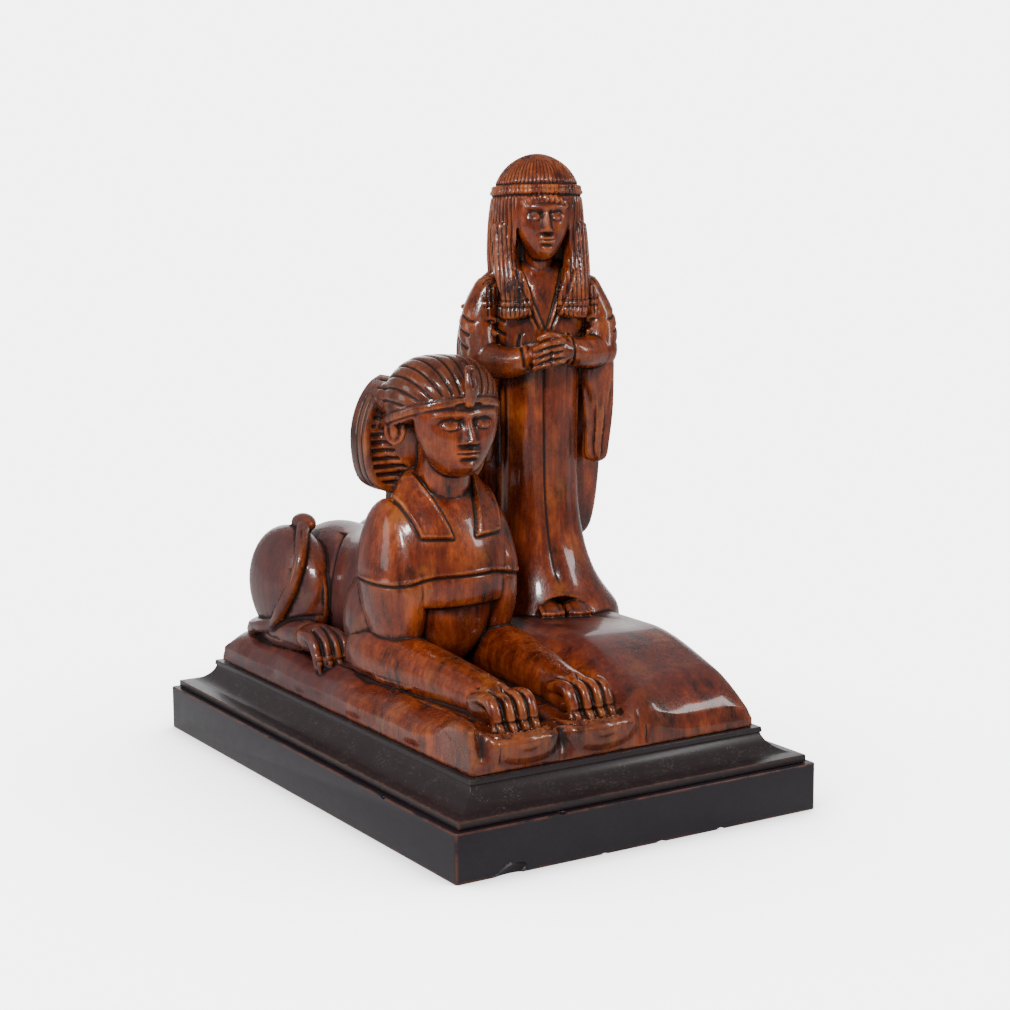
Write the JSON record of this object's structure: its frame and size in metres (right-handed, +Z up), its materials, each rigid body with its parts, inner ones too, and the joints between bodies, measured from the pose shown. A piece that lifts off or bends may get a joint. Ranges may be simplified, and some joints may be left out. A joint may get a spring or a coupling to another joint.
{
  "type": "sphinx statue",
  "caption": "Carved hardwood group of a couchant sphinx with a robed woman standing beside it on rocky ground, on a stepped ebonised wood plinth.",
  "frame": {"origin": "centre of the plinth's underside", "axes": "+Z up; the sphinx and its forelegs point along -Y, the plinth's long side runs along Y, and the standing woman is on the +X side"},
  "size_m": [0.27, 0.416, 0.42],
  "materials": {
    "ebonised_wood": "ebonised and waxed, with worn red-brown edges",
    "polished_hardwood": "stained red-brown and polished to a gloss, with dark patina in the recesses"
  },
  "bodies": {
    "root": {"plinth_slab": "ebonised_wood", "plinth_moulding": "ebonised_wood", "carved_group": "polished_hardwood"}
  },
  "joints": []
}
